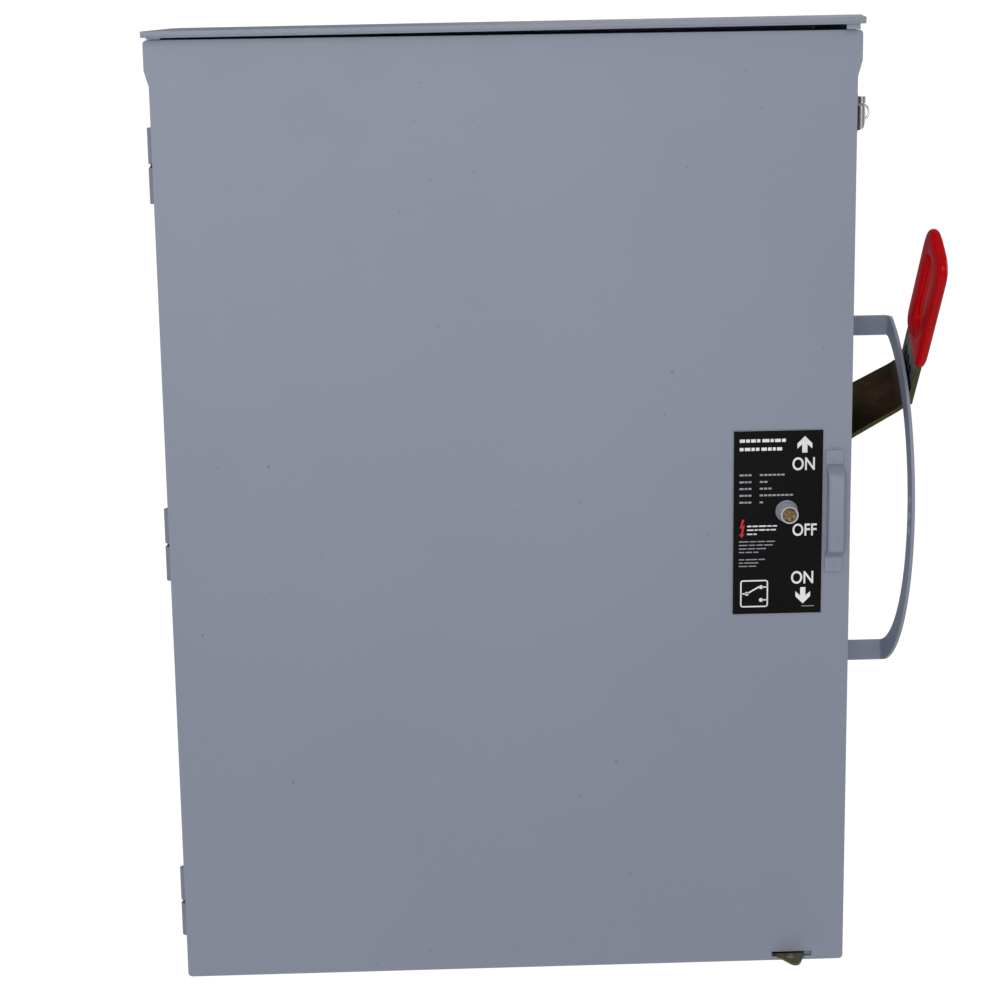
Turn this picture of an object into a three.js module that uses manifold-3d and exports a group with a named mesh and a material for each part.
// A wall-mounted, three-pole, double-throw safety switch (manual transfer switch) in a rain-tight box.
// Millimetres. +X is right, +Y goes into the wall and +Z is up. The origin is the middle of the back
// face, on the wall. The lever stands in its upper ON place, the door is shut and the lock is undone.
import * as THREE from 'three';
import { mergeVertices } from 'three/addons/utils/BufferGeometryUtils.js';
import Module from 'manifold-3d';

const wasm = await Module();
wasm.setup();

// Box and door
const DEPTH = 280; // wall to the door's front face
const DOOR_W = 635;
const DOOR_H = 888;
const SHEET = 2;
const DOOR_FLANGE = 22; // how far the door's rim reaches back
const SIDE_GAP = 2.5; // between the door's rim and the box
const END_GAP = 1;
const FLARE = 4; // the rim steps out over the hood's cheeks
const FLARE_H = 27;
const FLARE_RAMP = 14;
const GAP = 0.3; // between touching pieces
const FRONT = -DEPTH;
const BOX_X = DOOR_W / 2 - SHEET - SIDE_GAP;
const BOX_Z = DOOR_H / 2 - SHEET - END_GAP;
const BOX_FRONT = FRONT + SHEET + 2;
const RETURN = 20; // width of the box's front return flange

// Drip hood
const HOOD_Z = 455.5;
const HOOD_CHEEK = 54;
const HOOD_OVERHANG = 12;
const HOOD_X = 322;
const HOOD_TILT = THREE.MathUtils.degToRad(0.3);

// Hinges
const HINGE_X = -319;
const HINGE_Y = -252;
const HINGE_Z = { top: 331.5, middle: -21.5, bottom: -376.5 };
const KNUCKLE_R = 5;
const KNUCKLE_H = 32.5;
const PIN_R = 3;

// Throw lever, its guard and the shaft that they share
const SHAFT_Y = FRONT + 155;
const SHAFT_R = 11;
const THROW = THREE.MathUtils.degToRad(48); // from OFF, straight ahead, to either ON
const GUARD_X = 370;
const GUARD_IN = 160;
const GUARD_OUT = 180;
const GUARD_T = 3;
const GUARD_END = THREE.MathUtils.degToRad(72);
const PADLOCK_R = 170; // distance of the guard's padlock holes from the shaft
const PADLOCK_HOLE = 4.75;
const PADLOCK_STEP = THREE.MathUtils.degToRad(4.85);
const LEVER_T = 5;
const LEVER_HOLE_U = 189; // the lever's padlock holes, just outside the guard's rim
const LEVER_IN_X = 325; // inner face of the plate, by the hub
const LEVER_OUT_X = 374.5; // inner face of the plate, outside the guard
const GRIP_T = 11.5;

// Switch mechanism
const ROTOR_Y = -75;
const CRANK_R = 40;
const CRANK_T = 8;
const CRANK_PIN_R = 5;
const STUB_R = 6; // the rotor's pins, one on the frame and one in each load clip
const ROTOR_CRANK_X = 170; // left faces of the linkage's plates, side by side
const LINK_X = 181.5;
const LINK_T = 6;
const DRIVE_CRANK_X = 190;
const FRAME_X = 209.5;
const FRAME_T = 4;
const POLES = { left: -130, centre: -15, right: 100 };
const BLADE_T = 6;
const BLADE_W = 22;
const BLADE_L = 100;
const LEAF_IN = 3.4; // inner face of a contact leaf, from the pole's middle
const LEAF_T = 2.5;
const BAR_U = [32, 52]; // where the crossbar lies along the blades
const BASE_LEFT = -172;
const BASE_RIGHT = 142;
const PAN_FRONT = -20.3;

// Door furniture
const LOCK_X = 257.6;
const LOCK_Z = 3.8;
const LABEL = [207, -95, 291.3, 81];
const PULL_X = [293.5, 310];
const HASP_X = [250, 279];
const HASP_TOP = -436.2;

const group = new THREE.Group();
group.name = 'manual_transfer_switch';

// A closed geometry as a solid, turned the right way out if its faces point inwards.
function solid(geometry) {
  const plain = geometry.clone();
  for (const name of ['normal', 'uv']) plain.deleteAttribute(name);
  const merged = mergeVertices(plain, 1e-3);
  const vertProperties = merged.attributes.position.array;
  const triVerts = new Uint32Array(merged.index.array);
  const body = new wasm.Manifold(new wasm.Mesh({ numProp: 3, vertProperties, triVerts }));
  if (body.volume() > 0) return body;
  triVerts.reverse();
  return new wasm.Manifold(new wasm.Mesh({ numProp: 3, vertProperties, triVerts }));
}

function geometryOf(body) {
  const mesh = body.getMesh();
  const geometry = new THREE.BufferGeometry();
  geometry.setAttribute('position', new THREE.BufferAttribute(mesh.vertProperties, 3));
  geometry.setIndex(new THREE.BufferAttribute(mesh.triVerts, 1));
  return geometry;
}

function add(name, body, look) {
  const geometry = geometryOf(body).toNonIndexed();
  geometry.computeVertexNormals();
  const mesh = new THREE.Mesh(geometry, new THREE.MeshStandardMaterial(look));
  mesh.name = name;
  group.add(mesh);
  return mesh;
}

const LOOKS = {
  paint: { color: 0x8a919d, roughness: 0.55, metalness: 0.1 },
  plated: { color: 0x6d6a4c, roughness: 0.35, metalness: 0.9 },
  zinc: { color: 0xb4b8ba, roughness: 0.4, metalness: 0.9 },
  steel: { color: 0x9a9c9e, roughness: 0.3, metalness: 0.9 },
  chrome: { color: 0xd8dade, roughness: 0.12, metalness: 1 },
  brass: { color: 0xa07b48, roughness: 0.35, metalness: 0.9 },
  copper: { color: 0xb8734a, roughness: 0.3, metalness: 0.95 },
  aluminium: { color: 0xc3c6c8, roughness: 0.4, metalness: 0.9 },
  red: { color: 0xb3141c, roughness: 0.2, metalness: 0 },
  black: { color: 0x17171a, roughness: 0.5, metalness: 0 },
  insulator: { color: 0x2b2422, roughness: 0.5, metalness: 0 },
};

// A box between two opposite corners.
function box(x0, y0, z0, x1, y1, z1) {
  const geometry = new THREE.BoxGeometry(Math.abs(x1 - x0), Math.abs(y1 - y0), Math.abs(z1 - z0));
  geometry.translate((x0 + x1) / 2, (y0 + y1) / 2, (z0 + z1) / 2);
  return solid(geometry);
}

// A round bar between two places on one row axis.
function rod(axis, from, to, radius, at, sides = 24) {
  const geometry = new THREE.CylinderGeometry(radius, radius, to - from, sides);
  geometry.rotateY(Math.PI / sides);
  const middle = (from + to) / 2;
  if (axis === 'x') geometry.rotateZ(-Math.PI / 2).translate(middle, at[0], at[1]);
  if (axis === 'y') geometry.translate(at[0], middle, at[1]);
  if (axis === 'z') geometry.rotateX(Math.PI / 2).translate(at[0], at[1], middle);
  return solid(geometry);
}

function shapeOf(points) {
  return new THREE.Shape(points.map(([a, b]) => new THREE.Vector2(a, b)));
}

// An outline, given as points or as a shape, pushed out to a depth.
function slab(outline, depth, curveSegments) {
  const shape = outline instanceof THREE.Shape ? outline : shapeOf(outline);
  return new THREE.ExtrudeGeometry(shape, { depth, bevelEnabled: false, curveSegments });
}

// A plate in the YZ plane: its outline is given as (y, z), and it fills x0 to x1.
function plateYZ(outline, x0, x1, curveSegments = 12) {
  const geometry = slab(outline, x1 - x0, curveSegments);
  const toRow = new THREE.Matrix4().makeBasis(
    new THREE.Vector3(0, 1, 0), new THREE.Vector3(0, 0, 1), new THREE.Vector3(1, 0, 0),
  );
  geometry.applyMatrix4(toRow);
  geometry.translate(x0, 0, 0);
  return solid(geometry);
}

// A plate in the XZ plane: its outline is given as (x, z), and it fills y0 to y1.
function plateXZ(outline, y0, y1, curveSegments = 12) {
  const geometry = slab(outline, y1 - y0, curveSegments);
  geometry.rotateX(Math.PI / 2).translate(0, y1, 0);
  return solid(geometry);
}

// A plate in the XY plane: its outline is given as (x, y), and it fills z0 to z1.
function plateXY(outline, z0, z1, curveSegments = 12) {
  const geometry = slab(outline, z1 - z0, curveSegments);
  geometry.translate(0, 0, z0);
  return solid(geometry);
}

function join(...bodies) {
  return bodies.reduce((sum, body) => sum.add(body));
}

function rounded(x0, z0, x1, z1, r) {
  const shape = new THREE.Shape();
  shape.moveTo(x0 + r, z0);
  shape.lineTo(x1 - r, z0).absarc(x1 - r, z0 + r, r, -Math.PI / 2, 0);
  shape.lineTo(x1, z1 - r).absarc(x1 - r, z1 - r, r, 0, Math.PI / 2);
  shape.lineTo(x0 + r, z1).absarc(x0 + r, z1 - r, r, Math.PI / 2, Math.PI);
  shape.lineTo(x0, z0 + r).absarc(x0 + r, z0 + r, r, Math.PI, Math.PI * 1.5);
  return shape;
}

// Turns a body that is drawn pointing straight ahead up about the X axis through y.
function turned(body, angle, y) {
  const degrees = THREE.MathUtils.radToDeg(angle);
  return body.translate([0, -y, 0]).rotate([-degrees, 0, 0]).translate([0, y, 0]);
}

// ---- Enclosure ----

function enclosureBody() {
  const wrap = plateXY([
    [-BOX_X, 0], [-BOX_X, BOX_FRONT], [-BOX_X + RETURN, BOX_FRONT], [-BOX_X + RETURN, BOX_FRONT + SHEET],
    [-BOX_X + SHEET, BOX_FRONT + SHEET], [-BOX_X + SHEET, -SHEET], [BOX_X - SHEET, -SHEET],
    [BOX_X - SHEET, BOX_FRONT + SHEET], [BOX_X - RETURN, BOX_FRONT + SHEET], [BOX_X - RETURN, BOX_FRONT],
    [BOX_X, BOX_FRONT], [BOX_X, 0],
  ], -(BOX_Z - SHEET - GAP), BOX_Z - SHEET - GAP);
  let body = wrap.subtract(rod('x', BOX_X - 10, BOX_X + 10, 16, [SHAFT_Y, 0], 32));
  for (const x of [-250, 250]) {
    for (const z of [-385, 385]) body = body.subtract(rod('y', -10, 10, 5.5, [x, z], 16));
  }
  return body;
}

function enclosureEnd(side) {
  const outer = side * BOX_Z;
  const inner = side * (BOX_Z - SHEET);
  const lip = side * (BOX_Z - RETURN);
  const inset = BOX_X - RETURN - GAP - 0.2;
  const body = join(
    box(-BOX_X, BOX_FRONT, inner, BOX_X, 0, outer),
    box(-inset, BOX_FRONT, lip, inset, BOX_FRONT + SHEET, inner),
  );
  // The top carries a low dam that keeps driven rain from running back over it.
  if (side > 0) return body.add(box(-BOX_X, -60, BOX_Z - 1, BOX_X, -58, BOX_Z + 5));
  // The bottom's lip is notched where the hasp's tongue goes through it.
  const notch = box(
    HASP_X[0] - 1, BOX_FRONT - 1, -BOX_Z + SHEET, HASP_X[1] + 1, BOX_FRONT + SHEET + 1, HASP_TOP + 1,
  );
  return body.subtract(notch);
}

// The hood is one folded sheet: a roof that is highest near the front, a lip, two cheeks, and at
// each end of the lip a small return that closes the corner above the door.
function dripHood() {
  const half = BOX_X + 2 * GAP + SHEET;
  const breakY = FRONT + 14;
  const frontY = FRONT - HOOD_OVERHANG;
  const eaves = HOOD_Z - 2;
  const lipZ = eaves - 5.7;
  const rear = HOOD_Z - 4.2;
  const roofT = 3.5;
  const section = [
    [0, rear], [0, rear - roofT], [breakY, HOOD_Z - roofT], [frontY + SHEET, eaves - roofT + 1],
    [frontY + SHEET, lipZ], [frontY, lipZ], [frontY, eaves], [breakY, HOOD_Z],
  ];
  let body = plateYZ(section, -HOOD_X, HOOD_X);
  body = body.subtract(box(-HOOD_X - 1, frontY - 1, eaves, -HOOD_X + 31, 1, HOOD_Z + 1));
  body = body.add(box(-half, -SHEET, BOX_Z + 2.5, half, 0, rear - 0.8));
  const foot = HOOD_Z - HOOD_CHEEK;
  const cheek = [
    [FRONT + 25, foot], [0, foot], [0, rear - 0.8], [breakY, eaves - 0.5], [FRONT - 8, eaves - 1.5],
    [FRONT - 8, HOOD_Z - 8], [FRONT + 25, HOOD_Z - 8],
  ];
  body = body.add(plateYZ(cheek, -half, SHEET - half)).add(plateYZ(cheek, half - SHEET, half));
  for (const side of [-1, 1]) {
    const low = DOOR_H / 2 + 0.6 - side * HOOD_X * Math.sin(HOOD_TILT);
    const [inner, outer] = [side * (half - 11), side * (HOOD_X - 5)];
    body = body.add(box(inner, frontY + SHEET - 0.5, low, outer, frontY + 2 * SHEET, eaves - 1));
    const [end, under] = [side * (HOOD_X + 1), lipZ - 1];
    const cut = [[end, eaves - 1], [end, under], [side * (HOOD_X - 5), under]];
    body = body.subtract(plateXZ(cut, frontY - 1, frontY + SHEET - 0.6));
  }
  return body
    .translate([0, 0, -HOOD_Z])
    .rotate([0, -THREE.MathUtils.radToDeg(HOOD_TILT), 0])
    .translate([0, 0, HOOD_Z]);
}

function mountingPan() {
  const [x0, x1, back] = [-272, 262, -SHEET - GAP];
  return plateXY([
    [x0, back], [x0, PAN_FRONT], [x1, PAN_FRONT], [x1, back], [x1 - SHEET, back],
    [x1 - SHEET, PAN_FRONT + SHEET], [x0 + SHEET, PAN_FRONT + SHEET], [x0 + SHEET, back],
  ], -250, 215);
}

// ---- Hinges: the door's knuckle sits on top of the box's knuckle ----

function knuckle(z0, z1) {
  return rod('z', z0, z1, KNUCKLE_R, [HINGE_X, HINGE_Y], 20);
}

function doorLeaf(z) {
  const [z0, z1] = [z + 1.75, z + 1.75 + KNUCKLE_H];
  const body = join(knuckle(z0, z1), box(-315.2, BOX_FRONT + 1, z0, -313.7, HINGE_Y, z1));
  return body.subtract(rod('z', z0 - 1, z1 - 2, PIN_R + 0.3, [HINGE_X, HINGE_Y], 20));
}

// The pin is staked in the box leaf and stands up into the door's knuckle.
function boxLeaf(z) {
  const [z0, z1] = [z - 1.75 - KNUCKLE_H, z - 1.75];
  return join(
    knuckle(z0, z1),
    box(-315.3, HINGE_Y, z0, -BOX_X - GAP, HINGE_Y + 26, z1),
    rod('z', z1 - 2, z1 + KNUCKLE_H - 2, PIN_R, [HINGE_X, HINGE_Y], 20),
  );
}

// ---- Door ----

function doorOutline(inset) {
  const half = DOOR_W / 2 - inset;
  const top = DOOR_H / 2 - inset;
  const flareFoot = DOOR_H / 2 - FLARE_H;
  const r = 4 - inset;
  const shape = new THREE.Shape();
  shape.moveTo(-half + r, -top);
  shape.lineTo(half - r, -top).absarc(half - r, -top + r, r, -Math.PI / 2, 0);
  shape.lineTo(half, flareFoot - FLARE_RAMP).lineTo(half + FLARE, flareFoot);
  shape.lineTo(half + FLARE, top - r).absarc(half + FLARE - r, top - r, r, 0, Math.PI / 2);
  shape.lineTo(-half - FLARE + r, top).absarc(-half - FLARE + r, top - r, r, Math.PI / 2, Math.PI);
  shape.lineTo(-half - FLARE, flareFoot).lineTo(-half, flareFoot - FLARE_RAMP);
  shape.lineTo(-half, -top + r).absarc(-half + r, -top + r, r, Math.PI, Math.PI * 1.5);
  return shape;
}

function doorPanel() {
  const outer = plateXZ(doorOutline(0), FRONT, FRONT + DOOR_FLANGE, 3);
  const inner = plateXZ(doorOutline(SHEET), FRONT + SHEET, FRONT + DOOR_FLANGE + 1, 3);
  const lockHole = rod('y', FRONT - 1, FRONT + 5, 8, [LOCK_X, LOCK_Z]);
  const haspSlot = box(HASP_X[0] - 2, FRONT - 1, HASP_TOP - 4, HASP_X[1] + 8, FRONT + 5, HASP_TOP + 0.8);
  return outer.subtract(inner).subtract(lockHole).subtract(haspSlot);
}

// A strap pull: two feet on the door and a raised bar between two sloped shoulders.
function doorPull() {
  const foot = FRONT - GAP;
  const t = 2.4;
  const rise = 15;
  const section = [
    [foot, 61.3], [foot, 46.5], [foot - rise + t, 38], [foot - rise + t, -30.5], [foot, -39.5],
    [foot, -52.9], [foot - t, -52.9], [foot - t, -41], [foot - rise, -33], [foot - rise, 40.5],
    [foot - t, 48.5], [foot - t, 61.3],
  ];
  return plateYZ(section, PULL_X[0], PULL_X[1]);
}

function ratingLabel() {
  const [x0, z0, x1, z1] = LABEL;
  const plate = plateXZ(rounded(x0, z0, x1, z1, 1.5), FRONT - GAP - 0.5, FRONT - GAP, 2);
  return plate.subtract(rod('y', FRONT - 3, FRONT + 1, 10.6, [LOCK_X, LOCK_Z], 32));
}

function lathed(profile, at, sides = 32) {
  const geometry = new THREE.LatheGeometry(profile.map(([r, y]) => new THREE.Vector2(r, y)), sides);
  geometry.translate(at[0], 0, at[1]);
  return solid(geometry);
}

function lockHousing() {
  const tip = FRONT - 19;
  const seat = FRONT - GAP;
  const back = FRONT + SHEET + GAP;
  return lathed([
    [4.3, tip + 4], [6.6, tip + 4], [6.6, tip], [8.2, tip], [8.6, tip + 0.8], [9.8, seat], [7.7, seat],
    [7.7, back], [11.5, back], [11.5, back + 3], [4.3, back + 3], [4.3, tip + 4],
  ], [LOCK_X, LOCK_Z]);
}

function lockScrew() {
  const tip = FRONT - 19;
  const body = lathed([
    [0, FRONT + 10], [3.9, FRONT + 10], [3.9, tip + 3.6], [6.2, tip + 3.6], [6.2, tip + 0.6],
    [5.6, tip], [0, tip],
  ], [LOCK_X, LOCK_Z]);
  return body.subtract(box(LOCK_X - 8, tip - 1, LOCK_Z - 0.9, LOCK_X + 8, tip + 1.8, LOCK_Z + 0.9));
}

// The cam hangs down beside the box's return flange, and a quarter turn puts it behind the flange.
function lockCam() {
  const [y0, y1] = [BOX_FRONT + SHEET + 0.5, BOX_FRONT + SHEET + 3.5];
  const arm = plateXZ(rounded(LOCK_X - 9, LOCK_Z - 49, LOCK_X + 9, LOCK_Z + 10, 6), y0, y1, 4);
  return arm.subtract(rod('y', y0 - 1, y1 + 1, 4.3, [LOCK_X, LOCK_Z], 20));
}

// ---- Hasp and side catch ----

function padlockHasp() {
  const [x0, x1] = HASP_X;
  const [z0, z1] = [-BOX_Z + SHEET + GAP, HASP_TOP];
  const tongue = shapeOf([
    [x0, FRONT + 30], [x0, FRONT - 1], [x0 + 13, FRONT - 24], [x0 + 16, FRONT - 27],
    [x0 + 20, FRONT - 26.5], [x0 + 23, FRONT - 22], [x1, FRONT - 4], [x1, FRONT + 30],
  ]);
  const body = plateXY(tongue, z0, z1);
  return body.subtract(rod('z', z0 - 1, z1 + 1, 4.5, [x0 + 15.2, FRONT - 9], 20));
}

const CATCH_Z = 368.5;
const CATCH_PIN = [319.5, -246];
const RING_BAR = [325.2, -258];
const RING_Z = CATCH_Z + 1.5;
const RING_R = 6.8;

// A channel on the box's side wall whose two ears carry the catch lever's pin.
function catchBase() {
  const wall = BOX_X + GAP;
  const ear = [[wall, -256], [wall, -228], [wall + 7, -236], [wall + 11, -243], [wall + 10, -250]];
  return join(
    box(wall, -256, CATCH_Z - 17, wall + 2, -222, CATCH_Z + 17),
    plateXY(ear, CATCH_Z + 15, CATCH_Z + 17),
    plateXY(ear, CATCH_Z - 17, CATCH_Z - 15),
    rod('z', CATCH_Z - 17, CATCH_Z + 17, 1.6, CATCH_PIN, 16),
  );
}

// The catch lever wraps the pin and reaches forward beside the door's rim to a rolled nose, which
// stops short of the top to leave room for a smaller rolled nub. Its heel is cut back.
function catchLever() {
  const [x, y] = CATCH_PIN;
  const [z0, z1] = [CATCH_Z - 14.6, CATCH_Z + 14.6];
  const top = CATCH_Z + 15.8;
  const body = join(
    rod('z', z0, z1, 3.2, CATCH_PIN, 20),
    box(x + 0.6, y - 22, z0, x + 2.6, y, z1),
    box(x + 0.6, y - 22, z0, x + 2.6, y - 8, top),
    rod('z', z0, CATCH_Z + 7.6, 3.4, [x + 3.9, y - 22], 16),
    rod('z', CATCH_Z + 9.8, top, 3.2, [x + 4.2, y - 22], 16),
    box(x + 0.6, y - 20, CATCH_Z + 7, x + 5.5, y - 18, CATCH_Z + 10.4),
    box(x + 2, y - 13.5, RING_Z - 5, x + 5, y - 10.5, RING_Z + 5),
    rod('z', RING_Z - 5, RING_Z + 5, 2.3, RING_BAR, 16),
  );
  const heel = [
    [x + 9, z0 - 1], [x + 9, z0 + 10], [x + 7.3, z0 + 10], [x + 5.2, z0 + 2.1], [x + 0.8, z0],
    [x + 0.8, z0 - 1],
  ];
  return body
    .subtract(plateXZ(heel, y - 26, y - 18))
    .subtract(rod('z', z0 - 1, z1 + 1, 1.9, CATCH_PIN, 16))
    .subtract(rod('z', z0 - 1, z1 + 1, 1.3, RING_BAR, 16));
}

// A D-shaped wire ring: a straight bar through the lever's eye, and a half hoop.
function catchRing() {
  const [x, y] = RING_BAR;
  const wire = 1;
  const hoop = new THREE.CatmullRomCurve3([]);
  for (let i = 0; i <= 10; i += 1) {
    const a = (i / 10 - 0.5) * Math.PI;
    hoop.points.push(new THREE.Vector3(x + RING_R * Math.cos(a), y, RING_Z + RING_R * Math.sin(a)));
  }
  const round = new THREE.Shape().absarc(0, 0, wire, 0, 2 * Math.PI);
  const bow = new THREE.ExtrudeGeometry(round, { steps: 16, extrudePath: hoop, curveSegments: 5 });
  return join(solid(bow), rod('z', RING_Z - RING_R - wire, RING_Z + RING_R + wire, wire, RING_BAR, 12));
}

// ---- Throw guard ----

function arcShape(rIn, rOut, halfAngle, centreY) {
  const shape = new THREE.Shape();
  const steps = 36;
  const at = (r, a) => [centreY - r * Math.cos(a), r * Math.sin(a)];
  const rim = [];
  for (let i = 0; i <= steps; i += 1) rim.push(at(rOut, halfAngle * (1 - (2 * i) / steps)));
  for (let i = steps; i >= 0; i -= 1) rim.push(at(rIn, halfAngle * (1 - (2 * i) / steps)));
  rim.forEach(([a, b], i) => (i ? shape.lineTo(a, b) : shape.moveTo(a, b)));
  return shape;
}

// One end of the guard: an arm back to the box and a foot on its wall, drawn at OFF's height.
function guardArm(side) {
  const wall = BOX_X + GAP;
  const [outer, t] = [GUARD_X + GUARD_T, GUARD_T];
  const bend = 6;
  const profile = [
    [wall, 0], [wall, 26], [wall + t, 26], [wall + t, t], [outer - bend, t],
    [outer - bend * 0.3, t - bend * 0.3], [outer, t - bend], [outer, -8], [outer - t, -8],
    [outer - t, t - bend], [outer - t - 1.2, 0.6], [outer - bend, 0],
  ];
  const geometry = new THREE.ExtrudeGeometry(shapeOf(profile), {
    depth: GUARD_OUT - GUARD_IN, bevelEnabled: false,
  });
  // The profile's first axis is X, its second the way round, and the extrusion runs outwards.
  const angle = side * GUARD_END;
  const along = new THREE.Vector3(0, Math.sin(angle), Math.cos(angle)).multiplyScalar(side);
  const out = new THREE.Vector3(0, -Math.cos(angle), Math.sin(angle));
  const x = new THREE.Vector3(1, 0, 0);
  const frame = new THREE.Matrix4().makeBasis(x, along, out);
  frame.setPosition(0, SHAFT_Y + out.y * GUARD_IN, out.z * GUARD_IN);
  geometry.applyMatrix4(frame);
  return solid(geometry);
}

function throwGuard() {
  const arc = plateYZ(arcShape(GUARD_IN, GUARD_OUT, GUARD_END, SHAFT_Y), GUARD_X, GUARD_X + GUARD_T);
  let body = join(arc, guardArm(1), guardArm(-1));
  for (const a of [-PADLOCK_STEP, 0, PADLOCK_STEP]) {
    const at = [SHAFT_Y - PADLOCK_R * Math.cos(a), PADLOCK_R * Math.sin(a)];
    body = body.subtract(rod('x', GUARD_X - 1, GUARD_X + GUARD_T + 1, PADLOCK_HOLE, at, 20));
  }
  return body;
}

// ---- Lever and grip, drawn pointing straight ahead and then turned up to ON ----
// Along the lever is u, so a place is y = SHAFT_Y - u, z = v.

function uv(points) {
  return points.map(([u, v]) => [SHAFT_Y - u, v]);
}

// The slotted end of the lever, which the grip covers; spare is added on every side.
function tangOutline(spare) {
  const s = spare;
  return uv([
    [206, -29 - s], [337 + s, -29 - s], [343 + s, -24 - s], [336 + s, 16 + s], [329 + s, 22 + s],
    [206, 22 + s],
  ]);
}

function tangSlot(spare) {
  const s = spare;
  return uv([[241 + s, -20 + s], [335 - s, -20 + s], [330 - s, 14 - s], [241 + s, 14 - s]]);
}

function leverArm() {
  const half = 40;
  const bendX = [LEVER_IN_X, LEVER_OUT_X];
  // How far the curves of the two bends reach from their corners, inside and outside.
  const [tight, wide, slack, broad] = [3.1, 5.3, 9.7, 11.9];
  const section = roundRim([
    [-34, bendX[0], 0], [102, bendX[0], wide], [147, bendX[1], slack], [350, bendX[1], 0],
    [350, bendX[1] + LEVER_T, 0], [145, bendX[1] + LEVER_T, broad], [99.5, bendX[0] + LEVER_T, tight],
    [-34, bendX[0] + LEVER_T, 0],
  ]);
  const geometry = slab(section, 2 * half, 4);
  const toRow = new THREE.Matrix4().makeBasis(
    new THREE.Vector3(0, 1, 0), new THREE.Vector3(1, 0, 0), new THREE.Vector3(0, 0, -1),
  );
  geometry.applyMatrix4(toRow).translate(0, 0, half);
  const bent = solid(geometry);
  const outline = [];
  for (let i = 0; i <= 12; i += 1) {
    const a = Math.PI * 0.55 + (i / 12) * Math.PI * 0.9;
    outline.push([31 * Math.cos(a), 31 * Math.sin(a)]);
  }
  outline.push([100, -24.5], [146, -20.5], [156, -28], [207, -29], [207, 24], [156, 24], [146, 34]);
  outline.push([100, 34]);
  const cutter = plateYZ(uv(outline), bendX[0] - 5, bendX[1] + 15);
  let body = bent.intersect(cutter.add(plateYZ(tangOutline(0), bendX[1] - 5, bendX[1] + 15)));
  body = body.subtract(plateYZ(tangSlot(0), bendX[1] - 5, bendX[1] + 15));
  body = body.subtract(rod('x', bendX[0] - 5, bendX[0] + 10, SHAFT_R + GAP, [SHAFT_Y, 0], 32));
  for (const at of uv([[LEVER_HOLE_U, -11.5], [LEVER_HOLE_U, 0], [LEVER_HOLE_U, 11.5]])) {
    body = body.subtract(rod('x', bendX[1] - 1, bendX[1] + LEVER_T + 1, PADLOCK_HOLE, at, 20));
  }
  return turned(body, THROW, SHAFT_Y);
}

// The grip is a thick vinyl-dipped loop that hides the lever's slotted end.
function handGrip() {
  const x0 = LEVER_OUT_X - 3.5;
  const outside = roundRim([[213, -34, 5], [351, -34, 15], [344, 29, 19], [213, 27, 5]]);
  const hole = roundRim([[246, -15, 7], [330, -15, 8], [324, 10, 9], [246, 9, 7]]);
  const geometry = new THREE.ExtrudeGeometry(outside, {
    depth: GRIP_T - 6, bevelEnabled: true, bevelSize: 3, bevelThickness: 3, bevelOffset: -3,
    bevelSegments: 2, curveSegments: 5,
  });
  const toRow = new THREE.Matrix4().makeBasis(
    new THREE.Vector3(0, 1, 0), new THREE.Vector3(0, 0, 1), new THREE.Vector3(1, 0, 0),
  );
  geometry.applyMatrix4(toRow).translate(x0 + 3, 0, 0);
  let body = solid(geometry).subtract(plateYZ(hole, x0 - 1, x0 + GRIP_T + 1, 5));
  body = body.subtract(tangRoom());
  return turned(body, THROW, SHAFT_Y);
}

// The outline through corners given as (u, v, r), each one rounded from r before it to r after it.
function roundRim(rim) {
  const shape = new THREE.Shape();
  const n = rim.length;
  const corners = rim.map(([u, v, r]) => [SHAFT_Y - u, v, r]);
  corners.forEach(([a, b, r], i) => {
    const [pa, pb] = corners[(i + n - 1) % n];
    const [na, nb] = corners[(i + 1) % n];
    const before = Math.hypot(pa - a, pb - b);
    const after = Math.hypot(na - a, nb - b);
    const from = [a + ((pa - a) * r) / before, b + ((pb - b) * r) / before];
    const to = [a + ((na - a) * r) / after, b + ((nb - b) * r) / after];
    if (i === 0) shape.moveTo(...from);
    else shape.lineTo(...from);
    if (r > 0) shape.quadraticCurveTo(a, b, ...to);
  });
  shape.closePath();
  return shape;
}

// The room that the lever's end takes inside the grip.
function tangRoom() {
  const outer = plateYZ(tangOutline(GAP + 0.1), LEVER_OUT_X - GAP, LEVER_OUT_X + LEVER_T + GAP);
  const inner = plateYZ(tangSlot(GAP + 0.1), LEVER_OUT_X - 3, LEVER_OUT_X + LEVER_T + 3);
  return outer.subtract(inner);
}

function hubBolt() {
  const x = LEVER_IN_X + LEVER_T + GAP;
  return join(
    rod('x', x, x + 3, 20, [SHAFT_Y, 0], 32),
    rod('x', x + 2.5, x + 10, 12.5, [SHAFT_Y, 0], 6),
  );
}

// ---- Shaft, cranks and link ----

function shaftBushing() {
  const bore = rod('x', BOX_X - 20, BOX_X + 20, SHAFT_R + 0.25, [SHAFT_Y, 0], 48);
  return join(
    rod('x', BOX_X + GAP, BOX_X + 9, 24, [SHAFT_Y, 0], 32),
    rod('x', BOX_X - SHEET - 1, BOX_X + 4, 15.5, [SHAFT_Y, 0], 32),
    rod('x', BOX_X - SHEET - 9, BOX_X - SHEET - GAP, 21, [SHAFT_Y, 0], 6),
  ).subtract(bore);
}

// A crank pointing up: a boss round the axis at y, and an arm to its pin's place.
function crankPlate(y, x) {
  const width = 10;
  const to = x + CRANK_T;
  return join(
    box(x, y - width, 0, to, y + width, CRANK_R),
    rod('x', x, to, width, [y, CRANK_R], 20),
    rod('x', x, to, width + 7, [y, 0], 24),
  );
}

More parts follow.
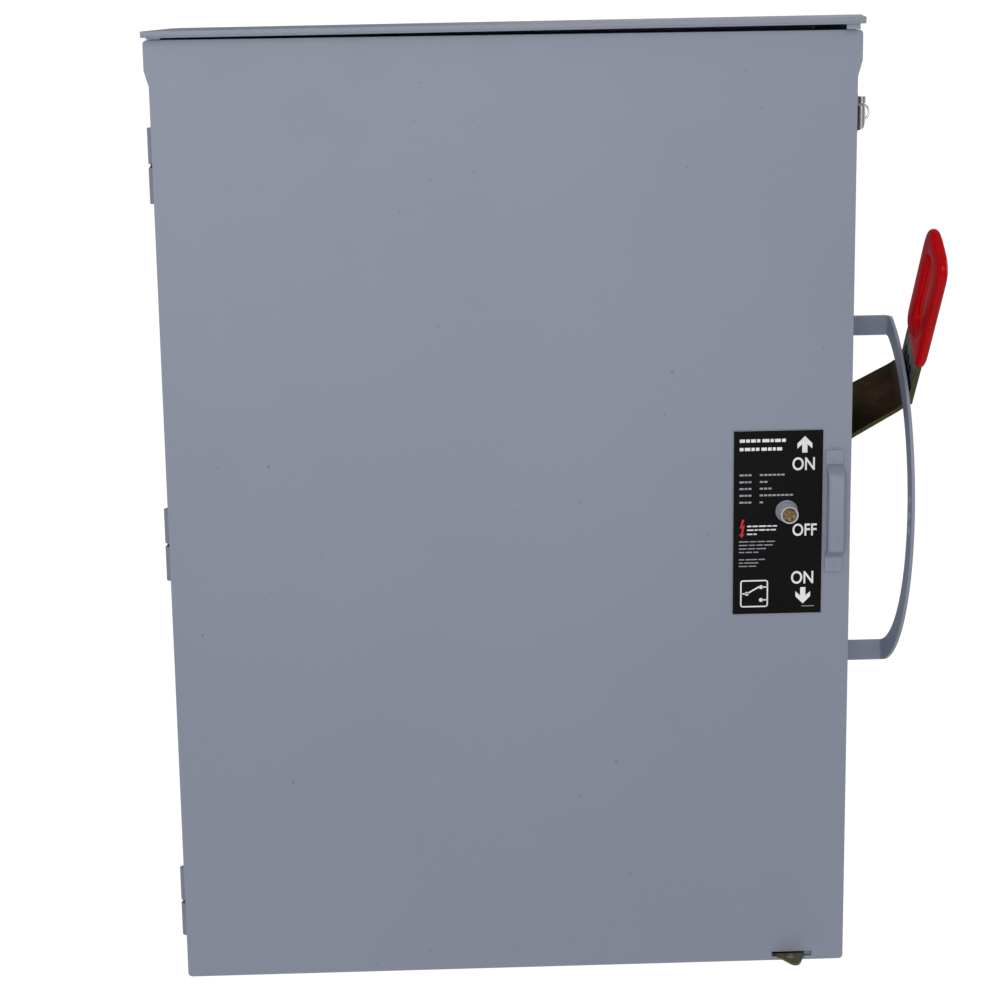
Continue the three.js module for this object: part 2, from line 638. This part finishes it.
function driveShaft() {
  const body = join(
    rod('x', DRIVE_CRANK_X + 2, LEVER_IN_X + LEVER_T, SHAFT_R, [SHAFT_Y, 0], 32),
    crankPlate(SHAFT_Y, DRIVE_CRANK_X),
    rod('x', LINK_X - 2.5, DRIVE_CRANK_X + 2, CRANK_PIN_R, [SHAFT_Y, CRANK_R], 16),
  );
  return turned(body, THROW, SHAFT_Y);
}

// The link keeps level, so it is drawn where the two crank pins are at ON.
function driveLink() {
  const lean = CRANK_R * Math.sin(THROW);
  const z = CRANK_R * Math.cos(THROW);
  const [y0, y1] = [SHAFT_Y + lean, ROTOR_Y + lean];
  const [x0, x1] = [LINK_X, LINK_X + LINK_T];
  const body = join(
    box(x0, y0, z - 8, x1, y1, z + 8),
    rod('x', x0, x1, 9.5, [y0, z], 20),
    rod('x', x0, x1, 9.5, [y1, z], 20),
  );
  return body
    .subtract(rod('x', x0 - 5, x1 + 5, CRANK_PIN_R + 0.2, [y0, z], 24))
    .subtract(rod('x', x0 - 5, x1 + 5, CRANK_PIN_R + 0.35, [y1, z], 24));
}

function mechanismFrame() {
  const back = PAN_FRONT - GAP;
  const plate = [[-152, -34], [-152, 34], [-130, 62], [back, 62], [back, -62], [-130, -62]];
  return join(
    plateYZ(plate, FRAME_X, FRAME_X + FRAME_T),
    box(FRAME_X, back - FRAME_T, -62, FRAME_X + 30, back, 62),
    rod('x', ROTOR_CRANK_X + 1, FRAME_X + 1, STUB_R, [ROTOR_Y, 0], 20),
  ).subtract(rod('x', FRAME_X - 5, FRAME_X + 5, SHAFT_R + GAP, [SHAFT_Y, 0], 32));
}

// ---- Rotor: the crossbar carries three blades that pivot in the load clips ----

function crossbar() {
  const [u0, u1] = BAR_U;
  const half = 18;
  let body = box(-162, ROTOR_Y - u1, -half, ROTOR_CRANK_X - GAP, ROTOR_Y - u0, half);
  for (const x of Object.values(POLES)) {
    const reach = BLADE_T / 2 + GAP;
    const room = BLADE_W / 2 + GAP;
    body = body.subtract(box(x - reach, ROTOR_Y - u1 - 1, -room, x + reach, ROTOR_Y - u0 + 1, room));
  }
  return turned(body, THROW, ROTOR_Y);
}

function rotorCrank() {
  const [x0, x1] = [ROTOR_CRANK_X, ROTOR_CRANK_X + CRANK_T];
  const body = join(
    crankPlate(ROTOR_Y, x0),
    box(x0, ROTOR_Y - BAR_U[1], -12, x1, ROTOR_Y, 12),
    rod('x', x1 - 2, LINK_X + LINK_T + 1.5, CRANK_PIN_R, [ROTOR_Y, CRANK_R], 16),
  ).subtract(rod('x', x0 - 10, x1 + 7, STUB_R + GAP, [ROTOR_Y, 0], 24));
  return turned(body, THROW, ROTOR_Y);
}

function blade(x) {
  const half = BLADE_W / 2;
  const outline = [
    [0, -half], [BLADE_L - 8, -half], [BLADE_L, 6 - half], [BLADE_L, half - 6], [BLADE_L - 8, half],
    [0, half],
  ].map(([u, v]) => [ROTOR_Y - u, v]);
  const body = join(
    plateYZ(outline, x - BLADE_T / 2, x + BLADE_T / 2),
    rod('x', x - BLADE_T / 2, x + BLADE_T / 2, 14, [ROTOR_Y, 0], 24),
  ).subtract(rod('x', x - 10, x + 10, STUB_R + GAP, [ROTOR_Y, 0], 24));
  return turned(body, THROW, ROTOR_Y);
}

// ---- Current path that stands still ----

// Two leaves that a blade goes between, on one strap that also carries the lug.
function jaw(x, side) {
  const y = -80 - GAP;
  const leaf = [[y, 56], [y - 46, 56], [y - 58, 62], [y - 60, 72], [y - 52, 86], [y, 86]].map(
    ([a, b]) => [a, side * b],
  );
  const body = join(
    box(x - 15, y - 4, side * 54, x + 15, y, side * 136),
    plateYZ(leaf, x - LEAF_IN - LEAF_T, x - LEAF_IN),
    plateYZ(leaf, x + LEAF_IN, x + LEAF_IN + LEAF_T),
  );
  return body;
}

function lug(x, y, z) {
  const body = join(
    box(x - 14, y - 30, z - 15, x + 14, y, z + 15),
    rod('y', y - 34, y - 29, 8, [x, z], 16),
  );
  return body
    .subtract(rod('z', z - 20, z + 20, 9, [x, y - 13], 20))
    .subtract(rod('y', y - 35, y - 31, 4, [x, z], 6));
}

// The load clip holds the blade's pivot pin, and its bar runs down behind the lower insulator.
function loadClip(x) {
  const y = -50 - GAP;
  const leaf = [[y, -18], [y, 18], [ROTOR_Y - 6, 14], [ROTOR_Y - 13, 0], [ROTOR_Y - 6, -14]];
  const bar = [
    [y, 36], [y - 4, 36], [y - 4, -45], [-32, -45], [-32, -218], [-28, -218], [-28, -41], [y, -41],
  ];
  return join(
    plateYZ(bar, x - 13, x + 13),
    plateYZ(leaf, x - LEAF_IN - LEAF_T, x - LEAF_IN),
    plateYZ(leaf, x + LEAF_IN, x + LEAF_IN + LEAF_T),
    rod('x', x - 8.5, x + 8.5, STUB_R, [ROTOR_Y, 0], 20),
  );
}

// A moulded block with a rib between poles; side +1 is the upper one and -1 the lower.
function sourceInsulator(side) {
  const back = PAN_FRONT - GAP;
  const body = [box(BASE_LEFT, -80, side * 50, BASE_RIGHT, -36, side * 142)];
  for (const [x0, x1] of [[BASE_LEFT, BASE_LEFT + 14], [BASE_RIGHT - 14, BASE_RIGHT]]) {
    body.push(box(x0, -37, side * 50, x1, back, side * 142));
  }
  const xs = Object.values(POLES);
  for (const x of [(xs[0] + xs[1]) / 2, (xs[1] + xs[2]) / 2]) {
    body.push(box(x - 3, -128, side * 58, x + 3, -79, side * 142));
  }
  return join(...body);
}

function loadInsulator() {
  return box(BASE_LEFT, -27.7, -225, BASE_RIGHT, PAN_FRONT - GAP, -160);
}

function middleInsulator() {
  return box(BASE_LEFT, -50, -38, BASE_RIGHT, PAN_FRONT - GAP, 38);
}

function groundBar() {
  const [y, z] = [-SHEET - GAP, -330];
  let body = join(
    box(-262, y - 22, z - 6, -150, y - 12, z + 6),
    box(-262, y - 13, z - 6, -250, y, z + 6),
    box(-162, y - 13, z - 6, -150, y, z + 6),
  );
  for (let i = 0; i < 6; i += 1) {
    body = body.subtract(rod('z', z - 10, z + 10, 3, [-240 + i * 14, y - 17], 12));
  }
  return body;
}

// ---- Assembly ----

add('enclosure_body', enclosureBody(), LOOKS.paint);
add('enclosure_top', enclosureEnd(1), LOOKS.paint);
add('enclosure_bottom', enclosureEnd(-1), LOOKS.paint);
add('drip_hood', dripHood(), LOOKS.paint);
add('mounting_pan', mountingPan(), LOOKS.zinc);
for (const [place, z] of Object.entries(HINGE_Z)) {
  add(`box_hinge_leaf_${place}`, boxLeaf(z), LOOKS.paint);
  add(`door_hinge_leaf_${place}`, doorLeaf(z), LOOKS.paint);
}
add('door_panel', doorPanel(), LOOKS.paint);
add('door_pull', doorPull(), LOOKS.paint);
add('rating_label', ratingLabel(), LOOKS.black);
add('lock_housing', lockHousing(), LOOKS.chrome);
add('lock_screw', lockScrew(), LOOKS.brass);
add('lock_cam', lockCam(), LOOKS.zinc);
add('padlock_hasp', padlockHasp(), LOOKS.plated);
add('side_catch_base', catchBase(), LOOKS.steel);
add('side_catch_lever', catchLever(), LOOKS.steel);
add('side_catch_ring', catchRing(), LOOKS.chrome);
add('throw_guard', throwGuard(), LOOKS.paint);
add('shaft_bushing', shaftBushing(), LOOKS.steel);
add('lever_arm', leverArm(), LOOKS.plated);
add('hand_grip', handGrip(), LOOKS.red);
add('lever_hub_bolt', hubBolt(), LOOKS.zinc);
add('drive_shaft', driveShaft(), LOOKS.steel);
add('drive_link', driveLink(), LOOKS.zinc);
add('mechanism_frame', mechanismFrame(), LOOKS.zinc);
add('crossbar', crossbar(), LOOKS.insulator);
add('rotor_crank', rotorCrank(), LOOKS.steel);
add('upper_insulator', sourceInsulator(1), LOOKS.insulator);
add('middle_insulator', middleInsulator(), LOOKS.insulator);
add('lower_insulator', sourceInsulator(-1), LOOKS.insulator);
add('load_insulator', loadInsulator(), LOOKS.insulator);
for (const [place, x] of Object.entries(POLES)) {
  add(`blade_${place}`, blade(x), LOOKS.copper);
  add(`upper_jaw_${place}`, jaw(x, 1), LOOKS.copper);
  add(`lower_jaw_${place}`, jaw(x, -1), LOOKS.copper);
  add(`load_clip_${place}`, loadClip(x), LOOKS.copper);
  add(`upper_lug_${place}`, lug(x, -84 - 2 * GAP, 118), LOOKS.aluminium);
  add(`lower_lug_${place}`, lug(x, -84 - 2 * GAP, -118), LOOKS.aluminium);
  add(`load_lug_${place}`, lug(x, -32 - GAP, -196), LOOKS.aluminium);
}
add('ground_bar', groundBar(), LOOKS.aluminium);

export default group;
